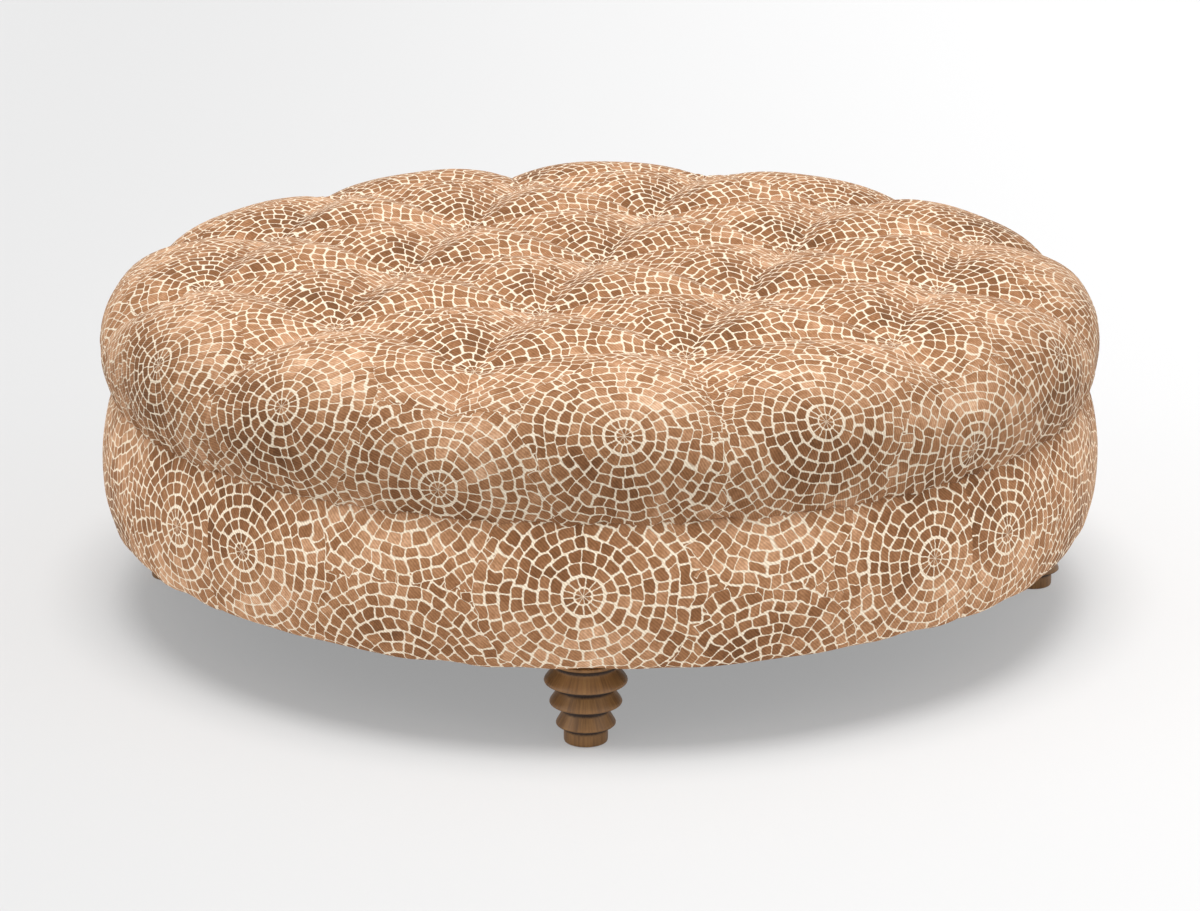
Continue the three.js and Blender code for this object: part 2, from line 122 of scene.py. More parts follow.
seat_profile = Profile(curve_through([
    (0.0000, 0.4310), (0.1200, 0.4308), (0.2400, 0.4303), (0.3400, 0.4290), (0.4000, 0.4264),
    (0.4400, 0.4226), (0.4760, 0.4166), (0.5120, 0.4082), (0.5400, 0.3998), (0.5620, 0.3900),
    (0.5786, 0.3780), (0.5895, 0.3634), (0.5965, 0.3464), (0.6000, 0.3290), (0.5990, 0.3140),
    (0.5958, 0.2990),
    (0.5918, 0.2860), (0.5878, 0.2765), (0.5850, 0.2712), (0.5834, 0.2680), (0.5824, 0.2660),
], 4000))
band_profile = Profile(curve_through([
    (0.5450, 0.0998), (0.5640, 0.0997), (0.5755, 0.1002), (0.5835, 0.1040), (0.5885, 0.1110),
    (0.5938, 0.1265), (0.5982, 0.1450), (0.5999, 0.1640), (0.6003, 0.1830), (0.5993, 0.2020),
    (0.5966, 0.2210), (0.5926, 0.2400), (0.5888, 0.2520), (0.5854, 0.2598),
    (0.5832, 0.2650), (0.5816, 0.2690), (0.5796, 0.2702), (0.5770, 0.2690), (0.5668, 0.2678),
], 900)[::-1])


# Mesh helpers

def new_object(name, verts, faces, smooth=True):
    me = bpy.data.meshes.new(name)
    me.from_pydata(np.asarray(verts).tolist(), [], faces)
    me.polygons.foreach_set("use_smooth", [smooth] * len(me.polygons))
    me.update()
    ob = bpy.data.objects.new(name, me)
    bpy.context.scene.collection.objects.link(ob)
    return ob


def point_attribute(ob, name, values):
    attribute = ob.data.attributes.new(name, "FLOAT_VECTOR", "POINT")
    attribute.data.foreach_set("vector", np.asarray(values, np.float32).ravel())


def ring_faces(first, count, rows, flip=False):
    """Quads between rows of count points each, closed round."""
    faces = []
    for k in range(rows - 1):
        a, b = first + k * count, first + (k + 1) * count
        for i in range(count):
            j = (i + 1) % count
            quad = (a + i, b + i, b + j, a + j)
            faces.append(quad[::-1] if flip else quad)
    return faces


def smooth_noise(theta, height, waves, seed, count=5):
    """A sum of a few waves round the drum, with random phases that drift with height."""
    r = np.random.default_rng(seed)
    total = np.zeros(np.broadcast(theta, height).shape)
    for _ in range(count):
        n = int(r.integers(*waves))
        total += np.sin(n * theta + r.uniform(0, 2 * math.pi) + height * r.uniform(-30, 30))
    return total / math.sqrt(count / 2)


def eased(x):
    """0 below 0, 1 above 1, smooth between."""
    return np.clip(x, 0, 1) ** 2 * (3 - 2 * np.clip(x, 0, 1))


def blunted(distance, radius):
    """A distance whose sharp zero is rounded off over a radius."""
    return np.sqrt(distance ** 2 + radius ** 2) - radius


def waist_wave(theta):
    """The line where seat and base meet isn't quite level."""
    return WAIST_WAVE * smooth_noise(theta, 0.0, (18, 60), 9)


def waist_gathers(theta, from_waist, slack_reach):
    """Small gathers where a cover is drawn in at the waist, and slower slack next to them."""
    gather = GATHER_DEPTH * np.exp(-(from_waist / GATHER_REACH) ** 1.3)
    slack = SLACK_DEPTH * np.exp(-(from_waist / slack_reach) ** 2)
    gather = gather * smooth_noise(theta, 0.0, (90, 170), 3)
    return gather + slack * smooth_noise(theta, 0.0, (14, 40), 4)


# Seat

TUFT_STEPS, EDGE_STEPS, SIDE_ROWS = 68, 20, 26
SETTLE_START, SETTLE_FRAMES, SLIDE_CAP, SWELL_CAP = 0.0030, 20, 0.004, (-0.0004, 0.0045)
HOLD_REACH, HOLD_LEVELS = 0.012, 20
EDGE_FADE, TUFT_FADE = 0.07, 0.04
TOP_LEVEL = 0.36
SEAT_COUNT = 6 * (TUFT_STEPS + EDGE_STEPS)
SHOULDER = seat_profile.length_at_radius(0.590)


def tuft_places():
    """The middle, six round it and twelve round those, in one triangular lattice."""
    places = [(0.0, 0.0)]
    for k in (1, 2):
        for side in range(6):
            a, b = side * math.pi / 3, (side + 1) * math.pi / 3
            for step in range(k):
                places.append(tuple(
                    TUFT_PITCH * ((k - step) * f(a) + step * f(b)) for f in (math.cos, math.sin)))
    return np.array(places)


TUFTS = tuft_places()
LINKS = [(a, b) for i, a in enumerate(TUFTS) for b in TUFTS[i + 1:]
         if np.hypot(*(a - b)) < TUFT_PITCH * 1.1]


def line_distance(here, start, end):
    """How far each place is from the line between start and end."""
    along = np.clip((here - start) @ (end - start) / ((end - start) @ (end - start)), 0, 1)
    return np.linalg.norm(here - start - along[:, None] * (end - start), axis=1)


def seat_rows(steps, edge_steps, side_rows):
    """Rows of flat places on the cover: tuft lattice hexagons, then circles down to the waist."""
    reach = seat_profile.length_at_radius(TUFT_REACH)
    rows = [np.zeros((1, 2))]
    rings = steps + edge_steps
    for k in range(1, rings + 1):
        ease = max(k - steps, 0) / edge_steps
        ease = ease * ease * (3 - 2 * ease)
        side, step = np.divmod(np.arange(6 * k), k)
        a, b = side * math.pi / 3, (side + 1) * math.pi / 3
        f = step / k
        hexagon = np.stack([(1 - f) * turned(a) + f * turned(b) for turned in (np.cos, np.sin)], 1)
        angle = (side + f) * math.pi / 3
        circle = np.stack([np.cos(angle), np.sin(angle)], 1)
        size = reach * min(k / steps, 1) + (SHOULDER - reach) * max(k - steps, 0) / edge_steps
        rows.append(size * (hexagon * (1 - ease) + circle * ease))
    circle = rows[-1] / np.linalg.norm(rows[-1], axis=1)[:, None]
    for s in np.linspace(SHOULDER, seat_profile.length, side_rows + 1)[1:]:
        rows.append(circle * s)
    return rows


def seat_faces(rows):
    """Triangles while the rows grow, then quads between rows of one length."""
    faces, starts, first = [], [], 0
    for row in rows:
        starts.append(first)
        first += len(row)
    for k in range(len(rows) - 1):
        inner, outer = len(rows[k]), len(rows[k + 1])
        a, b = starts[k], starts[k + 1]
        if inner == outer:
            for i in range(inner):
                j = (i + 1) % inner
                faces.append((a + i, b + i, b + j, a + j))
            continue
        for side in range(6):
            for step in range(k + 1):
                near = a + (side * k + step) % inner
                out, out_next = b + side * (k + 1) + step, b + (side * (k + 1) + step + 1) % outer
                faces.append((near, out, out_next))
                if step < k:
                    faces.append((near, out_next, a + (side * k + step + 1) % inner))
    return faces


def seat_shape(flat, sunk=0.0):
    """Places in space of flat places on the cover, with tufts, valleys, folds and waist gathers."""
    s = np.linalg.norm(flat, axis=1)
    theta = np.arctan2(flat[:, 1], flat[:, 0])
    r, z = seat_profile.at(s)
    nr, nz = seat_profile.outward(s)
    x, y = r * np.cos(theta), r * np.sin(theta)
    here = np.stack([x, y], 1)

    # Tufts: a small steep middle in a wide basin, which is narrower and less deep in the outer ring
    distance = np.linalg.norm(here[:, None] - TUFTS[None], axis=2)
    near = blunted(distance.min(axis=1), 0.002)
    inner = 1 - eased((r - 0.30) / 0.10)
    drop = TUFT_DEPTH * np.exp(-near / TUFT_SPREAD)
    basin, spread = (outside + (inside - outside) * inner
                     for outside, inside in (TUFT_BASIN, BASIN_SPREAD))
    drop += basin * np.exp(-(near / spread) ** 2)

    # Pillows: the cover falls to a valley along each line between neighbouring tufts
    to_link = np.min([line_distance(here, a, b) for a, b in LINKS], axis=0)
    full = TUFT_PITCH / (2 * math.sqrt(3))
    soft = blunted(to_link, 0.003)
    valley = (1 - np.clip(soft / full, 0, 1)) ** PILLOW_POWER * (1 - eased((r - 0.40) / 0.16))
    drop += PILLOW_DEPTH * valley

    # A fold from each outer tuft down over the shoulder, with full arcs between the folds
    turn = np.round(theta / (math.pi / 6))
    tuft_r = np.where(turn % 2 == 0, TUFT_REACH, TUFT_REACH * math.sqrt(0.75))
    across = blunted((theta - turn * math.pi / 6) * r, 0.003)
    begin = eased((r - tuft_r - 0.008) / 0.034)
    end = 1 - eased((s - seat_profile.length_at_radius(0.545)) / FOLD_REACH)
    drop += FOLD_DEPTH * (1 - np.clip(across / FOLD_REACH, 0, 1)) ** FOLD_POWER * begin * end

    # Gathers where the cover is drawn in at the waist
    to_edge = np.maximum(seat_profile.length - s, 0)
    move = waist_gathers(theta, to_edge, SEAT_SLACK_REACH) - sunk

    # The pull is straight down on the top and towards the middle on the side
    down = eased((seat_profile.length_at_radius(0.585) - s) / 0.10)
    r2 = r - drop * (1 - down) * nr + move * nr
    z2 = z - drop * down - drop * (1 - down) * nz + move * nz
    z2 = z2 + waist_wave(theta) * np.exp(-to_edge / WAIST_REACH)
    return np.stack([r2 * np.cos(theta), r2 * np.sin(theta), z2], 1)


def vertex_normals(ob):
    values = np.empty(len(ob.data.vertices) * 3, np.float32)
    ob.data.vertex_normals.foreach_get("vector", values)
    return values.reshape(-1, 3).astype(float)


def settled(start, faces, held):
    """The cover swelled against its held points by a cloth simulation, with the movement capped."""
    ob = new_object("settling", start, faces)
    group = ob.vertex_groups.new(name="held")
    levels = np.round(held * HOLD_LEVELS).astype(int)
    for level in range(1, HOLD_LEVELS + 1):
        group.add(np.nonzero(levels == level)[0].tolist(), level / HOLD_LEVELS, "REPLACE")
    modifier = ob.modifiers.new("Cloth", "CLOTH")
    cloth = modifier.settings
    cloth.quality = 5
    cloth.bending_stiffness = 0.2
    cloth.use_pressure = True
    cloth.uniform_pressure_force = 4
    cloth.effector_weights.gravity = 0
    cloth.vertex_group_mass = group.name
    cloth.shrink_min = -0.010
    modifier.collision_settings.use_collision = False
    modifier.point_cache.frame_end = SETTLE_FRAMES
    scene = bpy.context.scene
    for moment in range(1, SETTLE_FRAMES + 1):
        scene.frame_set(moment)
    ready = ob.evaluated_get(bpy.context.evaluated_depsgraph_get())
    mesh = ready.to_mesh()
    after = np.empty(len(mesh.vertices) * 3, np.float32)
    mesh.vertices.foreach_get("co", after)
    ready.to_mesh_clear()
    normals = vertex_normals(ob)
    bpy.data.objects.remove(ob)
    scene.frame_set(1)
    move = after.reshape(-1, 3) - start
    out = np.sum(move * normals, axis=1)[:, None]
    along = move - out * normals
    size = np.linalg.norm(along, axis=1)[:, None]
    along *= np.minimum(1, SLIDE_CAP / np.maximum(size, 1e-9))
    return start + along + np.clip(out, *SWELL_CAP) * normals


def make_seat_cover():
    """Two skins a cloth's thickness apart, closed at the waist. Each point keeps its flat place."""
    rows = seat_rows(TUFT_STEPS, EDGE_STEPS, SIDE_ROWS)
    flat = np.vstack(rows)
    faces = seat_faces(rows)
    to_edge = seat_profile.length - np.linalg.norm(flat, axis=1)
    to_tuft = np.linalg.norm(seat_shape(flat)[:, None, :2] - TUFTS[None], axis=2).min(axis=1)
    outer = seat_shape(flat, SETTLE_START * eased(to_edge / EDGE_FADE) * eased(to_tuft / TUFT_FADE))
    at_tufts = np.clip(1.3 - to_tuft / HOLD_REACH, 0, 1) * (outer[:, 2] > TOP_LEVEL)
    at_waist = np.clip(1.2 - to_edge / HOLD_REACH, 0, 1)
    outer = settled(outer, faces, np.maximum(at_tufts, at_waist))
    skin = new_object("skin", outer, faces)
    inner = outer - CLOTH * vertex_normals(skin)
    bpy.data.objects.remove(skin)
    n = len(outer)
    edge = n - SEAT_COUNT
    rim = [(edge + i, n + edge + i, n + edge + (i + 1) % SEAT_COUNT, edge + (i + 1) % SEAT_COUNT)
           for i in range(SEAT_COUNT)]
    ob = new_object("seat_cover_cloth", np.vstack([outer, inner]),
                    faces + [tuple(n + i for i in f[::-1]) for f in faces] + rim)
    rest_r = seat_profile.at(np.linalg.norm(flat, axis=1))[0]
    chart = np.column_stack([flat, rest_r])
    point_attribute(ob, "flat", np.vstack([chart, chart]))
    return ob


def make_seat_foam():
    rows = seat_rows(30, 9, 10)
    flat = np.vstack(rows)
    outer = seat_shape(flat, CLOTH + FOAM_GAP)
    outer[:, 2] = np.maximum(outer[:, 2], FOAM_BOTTOM)
    count = len(rows[-1])
    verts = np.vstack([outer, [[0, 0, FOAM_BOTTOM]]])
    edge = len(outer) - count
    base = [(len(outer), edge + (i + 1) % count, edge + i) for i in range(count)]
    return new_object("seat_foam_block", verts, seat_faces(rows) + base)


# Base

BAND_COUNT, BAND_ROWS = 512, 46
BAND_LEVEL = 0.0955  # how far below the band's top the middle row of medallions lies, along the cloth
SEAM_ANGLES = [0, math.pi / 2, math.pi, 3 * math.pi / 2]
HEM_DEPTH, HEM_UP, HEM_REACH = 0.0007, 0.035, 0.030
PADDING_COUNT, PADDING_ROWS, PADDING_GAP = 180, 22, 0.001
PADDING_START, PADDING_SHORT = 0.042, 0.022


def band_shape(theta, s, sunk=0.0):
    """Places on the base band, at an angle and a length down from its top, with folds, hem and seams."""
    r, z = band_profile.at(s)
    nr, nz = band_profile.outward(s)
    slow = 0.0008 * smooth_noise(theta, s * 0.3, (4, 12), 7)
    low = np.exp(-((band_profile.length - HEM_UP - s) / HEM_REACH) ** 2)
    hem = HEM_DEPTH * low * smooth_noise(theta, s, (20, 50), 8)
    seam = np.zeros_like(r)
    for angle in SEAM_ANGLES:
        off = np.abs((theta - angle + math.pi) % (2 * math.pi) - math.pi) * r
        seam -= SEAM_DEPTH * np.exp(-off / SEAM_REACH)
    move = waist_gathers(theta, s, BAND_SLACK_REACH) + slow + hem + seam - sunk
    z = z + waist_wave(theta) * np.exp(-s / WAIST_REACH)
    r = r + move * nr
    return np.stack([r * np.cos(theta), r * np.sin(theta), z + move * nz], -1)


def make_band(name, count, rows, sunk, stops, inner_skin):
    """A closed ring with the band's shape outside and inner_skin(theta, s) inside."""
    theta = np.arange(count) * 2 * math.pi / count
    lengths = np.linspace(stops[0], stops[1], rows)
    t, s = np.meshgrid(theta, lengths)
    outer = band_shape(t, s, sunk).reshape(-1, 3)
    inner = inner_skin(t, s).reshape(-1, 3)
    n = len(outer)
    faces = ring_faces(0, count, rows) + ring_faces(n, count, rows, flip=True)
    for row, flip in ((0, False), ((rows - 1) * count, True)):
        for i in range(count):
            j = (i + 1) % count
            quad = (row + i, row + j, n + row + j, n + row + i)
            faces.append(quad[::-1] if flip else quad)
    ob = new_object(name, np.vstack([outer, inner]), faces)
    chart = np.stack([np.cos(t), np.sin(t), s], -1).reshape(-1, 3)
    point_attribute(ob, "flat", np.vstack([chart, chart]))
    return ob


def make_base_cover():
    return make_band("base_cover_cloth", BAND_COUNT, BAND_ROWS, 0.0, (0.0, band_profile.length),
                     lambda t, s: band_shape(t, s, CLOTH))


def make_base_padding():
    def against_panel(t, s):
        _, z = band_profile.at(s)
        z = np.clip(z, PANEL_BOTTOM, PANEL_TOP)
        return np.stack([PANEL_RADIUS * np.cos(t), PANEL_RADIUS * np.sin(t), z], -1)
    stops = (PADDING_START, band_profile.length - PADDING_SHORT)
    return make_band("base_padding_wrap", PADDING_COUNT, PADDING_ROWS, CLOTH + PADDING_GAP, stops,
                     against_panel)


# Legs

# Half outline of a turned leg from the floor up, as radius, height and how dark it is painted in the
# grooves and
# under the rims (painted shade, with heavier staining there too): three rings that flare down to a rim,
# cut in flat underneath, over a plain foot and under a collar
LEG_OUTLINE = np.array([
    (0.0, 0.0, 0.0), (0.0184, 0.0, 0.0), (0.0186, -0.0024, 0.0), (0.0226, -0.0028, 0.3),
    (0.0238, -0.0024, 0.3), (0.0242, -0.0010, 0.1), (0.0243, 0.0050, 0.0), (0.0242, 0.0095, 0.2),
    (0.0240, 0.0130, 0.8), (0.0238, 0.0150, 1.0),
    (0.0262, 0.0158, 1.0), (0.0300, 0.0163, 1.0), (0.0320, 0.0170, 0.9), (0.0329, 0.0180, 0.6),
    (0.0330, 0.0190, 0.15), (0.0324, 0.0203, 0.0), (0.0305, 0.0235, 0.0), (0.0285, 0.0270, 0.0),
    (0.0266, 0.0302, 0.1), (0.0252, 0.0330, 0.6), (0.0243, 0.0352, 1.0), (0.0240, 0.0368, 1.0),
    (0.0262, 0.0383, 1.0), (0.0330, 0.0402, 1.0), (0.0380, 0.0413, 0.9), (0.0398, 0.0424, 0.6),
    (0.0401, 0.0434, 0.15), (0.0395, 0.0448, 0.0), (0.0376, 0.0478, 0.0), (0.0350, 0.0512, 0.0),
    (0.0325, 0.0546, 0.1), (0.0306, 0.0575, 0.6), (0.0293, 0.0598, 1.0), (0.0290, 0.0612, 1.0),
    (0.0312, 0.0626, 1.0), (0.0390, 0.0648, 1.0), (0.0440, 0.0660, 0.9), (0.0457, 0.0671, 0.6),
    (0.0460, 0.0682, 0.15), (0.0454, 0.0698, 0.0), (0.0434, 0.0728, 0.0), (0.0405, 0.0762, 0.0),
    (0.0378, 0.0794, 0.0), (0.0355, 0.0824, 0.1), (0.0342, 0.0848, 0.7), (0.0338, 0.0866, 1.0),
    (0.0352, 0.0884, 1.0), (0.0386, 0.0894, 0.9), (0.0400, 0.0902, 0.5), (0.0404, 0.0912, 0.1),
    (0.0404, 0.0936, 0.0), (0.0400, 0.0940, 0.0), (0.0100, 0.0940, 0.0),
])
LEG_STEP, LEG_SIDES = 0.0012, 96


def make_leg(number):
    angle = math.pi / 4 + (number - 1) * math.pi / 2
    fine = []
    for a, b in zip(LEG_OUTLINE, LEG_OUTLINE[1:]):
        steps = max(int(np.linalg.norm((b - a)[:2]) / LEG_STEP), 1)
        for i in range(steps):
            fine.append(a + (b - a) * i / steps)
    fine = np.array(fine + [LEG_OUTLINE[-1]])
    fine[2:-2] = (fine[1:-3] + 2 * fine[2:-2] + fine[3:-1]) / 4
    count = LEG_SIDES
    theta = np.arange(count) * 2 * math.pi / count
    t, i = np.meshgrid(theta, np.arange(1, len(fine)))
    r, z, stain_and_shade = fine[i, 0], fine[i, 1], fine[i, 2]
    cx, cy = np.array([math.cos(angle), math.sin(angle)]) * LEG_CIRCLE
    verts = np.stack([r * np.cos(t) + cx, r * np.sin(t) + cy, z + LEG_BOTTOM], -1).reshape(-1, 3)
    rows = len(fine) - 1
    verts = np.vstack([verts, [[cx, cy, LEG_BOTTOM], [cx, cy, LEG_BOTTOM + LEG_HEIGHT]]])
    foot, head = len(verts) - 2, len(verts) - 1
    faces = ring_faces(0, count, rows, flip=True)
    last = (rows - 1) * count
    faces += [(foot, (k + 1) % count, k) for k in range(count)]
    faces += [(head, last + k, last + (k + 1) % count) for k in range(count)]
    ob = new_object(f"turned_leg_{number}", verts, faces)
    chart = np.stack([t, z, stain_and_shade], -1).reshape(-1, 3)
    point_attribute(ob, "turned", np.vstack([chart, [[0, 0, 0], [0, LEG_HEIGHT, 0]]]))
    return ob


# Node helpers

class Val:
    """A shader socket that can be used in sums."""

    def __init__(self, tree, socket):
        self.tree, self.socket = tree, socket

    def math(self, operation, *others):
        node = self.tree.nodes.new("ShaderNodeMath")
        node.operation = operation
        for socket, value in zip(node.inputs, (self, *others)):
            wire(self.tree, socket, value)
        return Val(self.tree, node.outputs[0])

    def __add__(self, o): return self.math("ADD", o)
    __radd__ = __add__
    def __mul__(self, o): return self.math("MULTIPLY", o)
    __rmul__ = __mul__
    def __sub__(self, o): return self.math("SUBTRACT", o)
    def __rsub__(self, o): return (self * -1.0) + o
    def __truediv__(self, o): return self.math("DIVIDE", o)
    def floor(self): return self.math("FLOOR")
    def round(self): return self.math("ROUND")
    def frac(self): return self.math("FRACT")
    def sqrt(self): return self.math("SQRT")
    def sin(self): return self.math("SINE")
    def cos(self): return self.math("COSINE")
    def abs(self): return self.math("ABSOLUTE")
    def sign(self): return self.math("SIGN")
    def low(self, o): return self.math("MINIMUM", o)
    def high(self, o): return self.math("MAXIMUM", o)
    def below(self, o): return self.math("LESS_THAN", o)
    def wrap(self, o): return self.math("FLOORED_MODULO", o)
    def angle(self, x): return self.math("ARCTAN2", x)

    def step(self, start, end):
        """0 below start, 1 above end, smooth between."""
        node = self.tree.nodes.new("ShaderNodeMapRange")
        node.interpolation_type = "SMOOTHSTEP"
        for socket, value in zip(node.inputs, (self, start, end)):
            wire(self.tree, socket, value)
        return Val(self.tree, node.outputs[0])


def wire(tree, socket, value):
    if isinstance(value, Val):
        tree.links.new(value.socket, socket)
    else:
        socket.default_value = value


def pick(test, yes, no):
    """yes where test is 1, otherwise no."""
    tree = test.tree
    node = tree.nodes.new("ShaderNodeMix")
    wire(tree, node.inputs[0], test)
    wire(tree, node.inputs[2], no)
    wire(tree, node.inputs[3], yes)
    return Val(tree, node.outputs[0])


def hypot(a, b):
    return (a * a + b * b).sqrt()


def split(tree, vector):
    node = tree.nodes.new("ShaderNodeSeparateXYZ")
    wire(tree, node.inputs[0], vector)
    return [Val(tree, o) for o in node.outputs]


def join(tree, *parts):
    node = tree.nodes.new("ShaderNodeCombineXYZ")
    for socket, value in zip(node.inputs, parts):
        wire(tree, socket, value)
    return Val(tree, node.outputs[0])


def attribute(tree, name):
    node = tree.nodes.new("ShaderNodeAttribute")
    node.attribute_name = name
    return Val(tree, node.outputs["Vector"])


def places(tree):
    return Val(tree, tree.nodes.new("ShaderNodeTexCoord").outputs["Object"])


def noise(tree, vector, scale, detail=2.0, rough=0.5):
    node = tree.nodes.new("ShaderNodeTexNoise")
    wire(tree, node.inputs["Vector"], vector)
    node.inputs["Scale"].default_value = scale
    node.inputs["Detail"].default_value = detail
    node.inputs["Roughness"].default_value = rough
    return Val(tree, node.outputs["Fac"]), Val(tree, node.outputs["Color"])


def chance(tree, vector):
    """A random number from 0 to 1 that depends on the vector alone."""
    node = tree.nodes.new("ShaderNodeTexWhiteNoise")
    wire(tree, node.inputs["Vector"], vector)
    return Val(tree, node.outputs["Value"])


def scaled(tree, vector, factors):
    node = tree.nodes.new("ShaderNodeVectorMath")
    node.operation = "MULTIPLY"
    wire(tree, node.inputs[0], vector)
    node.inputs[1].default_value = factors
    return Val(tree, node.outputs[0])


def ramp(tree, value, *stops):
    """Colours along a value: (place, (r, g, b)) each."""
    node = tree.nodes.new("ShaderNodeValToRGB")
    wire(tree, node.inputs[0], value)
    elements = node.color_ramp.elements
    while len(elements) < len(stops):
        elements.new(0.5)
    for element, (place, colour) in zip(elements, stops):
        element.position = place
        element.color = (*colour, 1)
    return Val(tree, node.outputs[0])


def blend(tree, factor, a, b, kind="MIX"):
    node = tree.nodes.new("ShaderNodeMix")
    node.data_type = "RGBA"
    node.blend_type = kind
    wire(tree, node.inputs[0], factor)
    for socket, value in ((node.inputs[6], a), (node.inputs[7], b)):
        wire(tree, socket, value if isinstance(value, Val) else (*value, 1))
    return Val(tree, node.outputs[2])


def new_material(name):
    mat = bpy.data.materials.new(name)
    mat.use_nodes = True
    shader = mat.node_tree.nodes["Principled BSDF"]
    return mat, mat.node_tree, shader


def bump(tree, shader, height, distance, strength=1.0):
    node = tree.nodes.new("ShaderNodeBump")
    node.inputs["Distance"].default_value = distance
    node.inputs["Strength"].default_value = strength
    wire(tree, node.inputs["Height"], height)
    tree.links.new(node.outputs[0], shader.inputs["Normal"])


def srgb(r, g, b):
    """A colour read off a screen, 0 to 255, as linear light."""
    return tuple(c / 12.92 if c <= 0.04045 else ((c + 0.055) / 1.055) ** 2.4
                 for c in (r / 255, g / 255, b / 255))


# Mosaic fabric

RING_START, RING_PITCH = 0.0232, 0.0140
TILE_WIDTH, WEDGE_WIDTH = 0.0150, 0.0074
TILE_CORNER, WEDGE_CORNER = 0.0034, 0.0020
PETALS = 9
PETAL_BULGE, PETAL_INSET, PETAL_JOINT = 0.0060, 0.0004, 0.0006
WAVER, WAVER_GROWTH, WAVER_REACH, WAVER_SCALE = 0.0030, 0.0150, 0.11, 34.0
RAGGED, RAGGED_SCALE = 0.0013, 330.0
WIDTH_VARIATION, END_VARIATION = 1.05, 0.0011
INNER_END, INNER_END_VARIATION, INNER_SIDE = 0.0005, 0.0006, 0.0002
BORDER_SHARE, BORDER_VARIATION = 0.455, 0.05
FULL_TURN = 2 * math.pi
SIXTH, QUARTER = math.pi / 3, math.pi / 2
BORDER_DRIFT = 0.020
FAR_AWAY, NO_NUMBER = 9.0, 999.0  # beyond every distance and every medallion's number
JOINT_HALF, JOINT_VARIATION, JOINT_EDGE = 0.00062, 0.0005, 0.0005
TWILL_PITCH = 0.0032
DYE = ((0.0, srgb(110, 74, 47)), (0.30, srgb(143, 99, 66)), (0.55, srgb(170, 124, 88)),
       (0.80, srgb(204, 158, 122)), (1.0, srgb(233, 194, 160)))
PALE = ((0.25, srgb(235, 217, 191)), (0.7, srgb(250, 237, 215)))
# How much darker the seat's side is painted: painted shade
SIDE_SHADE_TINT = (0.82, 0.82, 0.82)


def mosaic_group():
    """Tiles in rings round one medallion.

    In: the local place, and where the middles of the other two medallions lie. Out: how far inside its
    tile the place is, a chance number for the tile, and whether this medallion owns it.
    """
    tree = bpy.data.node_groups.new("Mosaic tiles", "ShaderNodeTree")
    for name in ("Place", "Neighbour 1", "Neighbour 2"):
        tree.interface.new_socket(name, in_out="INPUT", socket_type="NodeSocketVector")
    for name in ("Inside", "Tile", "Owned"):
        tree.interface.new_socket(name, in_out="OUTPUT", socket_type="NodeSocketFloat")
    source = tree.nodes.new("NodeGroupInput")
    sink = tree.nodes.new("NodeGroupOutput")
    u, v, number = split(tree, Val(tree, source.outputs[0]))

    # Hand-cut look: the rings waver, more so further out, and the joints have ragged sides
    here = join(tree, u, v, number * 0.37)
    _, sway = noise(tree, here, WAVER_SCALE, 1.0)
    _, rag = noise(tree, here, RAGGED_SCALE, 1.0)
    su, sv, _ = split(tree, sway)
    ru, rv, _ = split(tree, rag)
    waver = hypot(u, v).step(0.0, WAVER_REACH) * WAVER_GROWTH + WAVER
    u = u + (su - 0.5) * waver + (ru - 0.5) * RAGGED
    v = v + (sv - 0.5) * waver + (rv - 0.5) * RAGGED

    radius = hypot(u, v)
    turn = v.angle(u) / FULL_TURN + 0.5
    along = (radius - RING_START) / RING_PITCH
    ring = along.floor().high(-2.0)
    wedges, disc = ring.below(-0.5), ring.below(-1.5)
    middle = (ring + 0.5) * RING_PITCH + RING_START
    width = pick(wedges, WEDGE_WIDTH, TILE_WIDTH)
    count = pick(disc, PETALS, (middle * FULL_TURN / width).round())
    around = turn * FULL_TURN
    on_ring = join(tree, around.cos() * middle, around.sin() * middle, ring * 5.3 + number * 2.7)
    uneven, _ = noise(tree, on_ring, 46.0, 1.0)
    shift = chance(tree, join(tree, ring, number, 3.1)) + (uneven - 0.5) * WIDTH_VARIATION
    cells = turn * count + shift
    cell = cells.floor().wrap(count)
    tile = chance(tree, join(tree, ring, cell, number))
    other = chance(tree, join(tree, cell, number, ring))

    # How far the place is from its tile's sides and ends. The two innermost joints are wider.
    across = cells.frac()
    side = across.low(1.0 - across) * (radius * FULL_TURN) / count
    rise = along.frac()
    end = rise.low(1.0 - rise) * RING_PITCH + (other - 0.5) * END_VARIATION
    near = radius.step(RING_START + RING_PITCH * 0.6, RING_START)
    end = end - near * (INNER_END + other * INNER_END_VARIATION)
    petals = across * (1.0 - across) * PETAL_BULGE - PETAL_INSET
    end = pick(disc, RING_START - RING_PITCH + petals - radius, end)
    side = side + pick(disc, PETAL_JOINT, near * INNER_SIDE)
    corner = pick(wedges, WEDGE_CORNER, TILE_CORNER)
    a, b = (corner - side).high(0.0), (corner - end).high(0.0)
    inside = corner - hypot(a, b)

    # The medallion owns a tile whose middle is on its own side of the border
    heading = ((cells.floor() + 0.5 - shift) / count - 0.5) * FULL_TURN
    mu, mv = heading.cos() * middle, heading.sin() * middle
    owned = 1.0
    for neighbour in list(source.outputs)[1:3]:
        nu, nv, _ = split(tree, Val(tree, neighbour))
        border = (nu * nu + nv * nv) * (BORDER_SHARE + other * BORDER_VARIATION) + 0.000001
        owned = (mu * nu + mv * nv).below(border) * owned
    owned = pick(wedges, 1.0, owned)
    for socket, value in zip(sink.inputs, (inside, tile, owned)):
        wire(tree, socket, value)
    return tree


